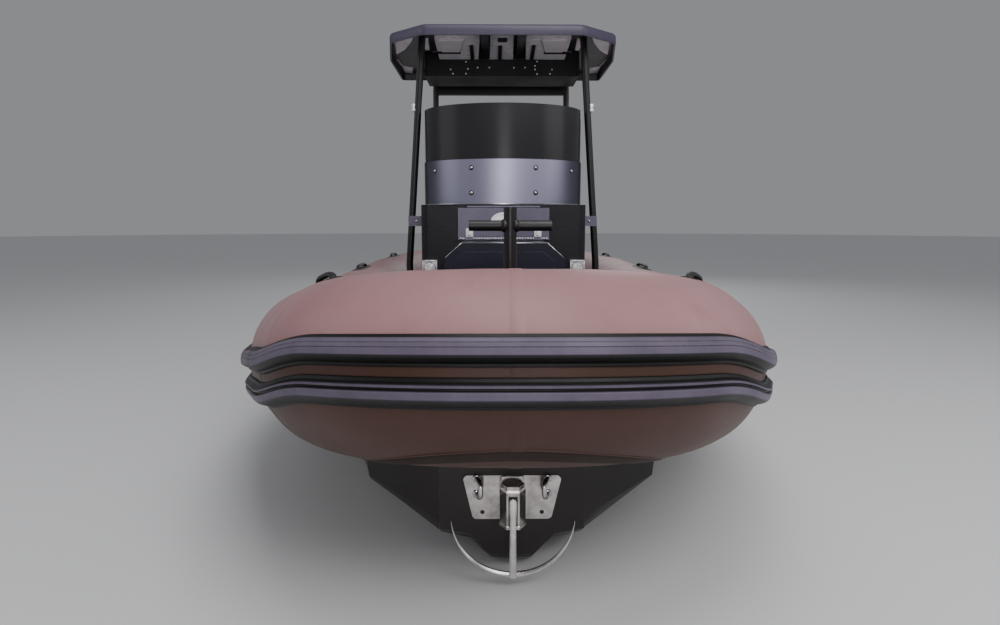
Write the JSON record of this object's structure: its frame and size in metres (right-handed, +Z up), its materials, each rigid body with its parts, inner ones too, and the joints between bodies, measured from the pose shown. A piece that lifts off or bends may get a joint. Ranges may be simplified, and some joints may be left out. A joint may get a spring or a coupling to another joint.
{
  "type": "rigid inflatable boat",
  "caption": "Rigid inflatable boat with a blunt round collar, ribbed rubbing strakes, a centre console with a curved tinted screen, a hardtop on posts, a bow anchor and an outboard motor.",
  "frame": {"origin": "on the centreline amidships, at the waterline", "axes": "-Y points to the bow, +X to port and +Z up"},
  "size_m": [2.8006, 7.6359, 3.388],
  "materials": {
    "collar_fabric": "matt coated fabric, dusty mauve brown",
    "strake_rubber": "satin moulded rubber, grey black",
    "hull_paint": "satin paint, dark charcoal",
    "deck_tread": "matt non-slip tread, dark grey",
    "console_paint": "satin paint, dark slate",
    "panel_paint": "satin paint, light mauve grey",
    "brushed_aluminium": "brushed",
    "polished_steel": "polished stainless steel",
    "black_coat": "satin black powder coat",
    "tinted_screen": "smoke tinted, glossy",
    "roof_paint": "satin paint, light purple grey",
    "white_cover": "gloss white",
    "seat_vinyl": "grained marine vinyl, near black",
    "grip_rubber": "matt black",
    "motor_paint": "gloss paint, graphite",
    "blade_steel": "brushed stainless steel"
  },
  "bodies": {
    "boat": {"collar_bow": "collar_fabric", "collar_forward_port": "collar_fabric", "collar_forward_starboard": "collar_fabric", "collar_aft_port": "collar_fabric", "collar_aft_starboard": "collar_fabric", "strake_upper": "strake_rubber", "strake_lower": "strake_rubber", "hull": "hull_paint", "cockpit_deck": "deck_tread", "foredeck": "deck_tread", "bow_plate": "polished_steel", "towing_eyes": "polished_steel", "anchor_housing": "polished_steel", "anchor": "polished_steel", "samson_post": "black_coat", "front_locker": "console_paint", "console": "console_paint", "console_coaming": "console_paint", "console_band": "brushed_aluminium", "windscreen": "tinted_screen", "deck_lamps": "polished_steel", "console_grab_rails": "polished_steel", "helm_hub": "black_coat", "throttle": "black_coat", "hardtop": "roof_paint", "hardtop_front_posts": "black_coat", "hardtop_rear_posts": "black_coat", "hardtop_frame": "black_coat", "overhead_box": "black_coat", "post_brackets": "panel_paint", "helm_seat_base": "console_paint", "helm_seat_cushion": "seat_vinyl", "helm_seat_rail": "black_coat", "helm_seat_backrest": "seat_vinyl", "collar_handles": "grip_rubber", "outboard_clamp": "motor_paint"},
    "steering_wheel": {"steering_wheel": "grip_rubber"},
    "console_hatch": {"console_hatch": "panel_paint", "inspection_plate": "white_cover"},
    "foredeck_lid": {"foredeck_lid": "console_paint"},
    "outboard_tilt": {"outboard_swivel": "motor_paint"},
    "outboard_drive": {"outboard_leg": "motor_paint", "outboard_cowl": "motor_paint"},
    "propeller": {"propeller": "blade_steel"}
  },
  "joints": [
    {"name": "steering_wheel_turn", "type": "hinge", "parent": "boat", "child": "steering_wheel", "pos_m": [0, -0.10031, 1.28649], "axis": [0, 0.9063, 0.4226], "range_deg": [-540, 540]},
    {"name": "console_hatch_hinge", "type": "hinge", "parent": "boat", "child": "console_hatch", "pos_m": [0, -1.1173, 1.364], "axis": [-1, 0, 0], "range_deg": [0, 100]},
    {"name": "foredeck_lid_hinge", "type": "hinge", "parent": "boat", "child": "foredeck_lid", "pos_m": [0, -2.694, 0.7473], "axis": [1, 0, 0], "range_deg": [0, 95]},
    {"name": "outboard_tilt_up", "type": "hinge", "parent": "boat", "child": "outboard_tilt", "pos_m": [0, 3.185, 0.51], "axis": [1, 0, 0], "range_deg": [0, 65]},
    {"name": "outboard_steer", "type": "hinge", "parent": "outboard_tilt", "child": "outboard_drive", "pos_m": [0, 3.29, 0.28], "axis": [0, 0, 1], "range_deg": [-30, 30]},
    {"name": "propeller_spin", "type": "hinge", "parent": "outboard_drive", "child": "propeller", "pos_m": [0, 3.706, -0.63], "axis": [0, 1, 0], "continuous": true}
  ],
  "couplings": [
    {"joint": "outboard_steer", "follows": "steering_wheel_turn", "ratio": -0.055556}
  ]
}
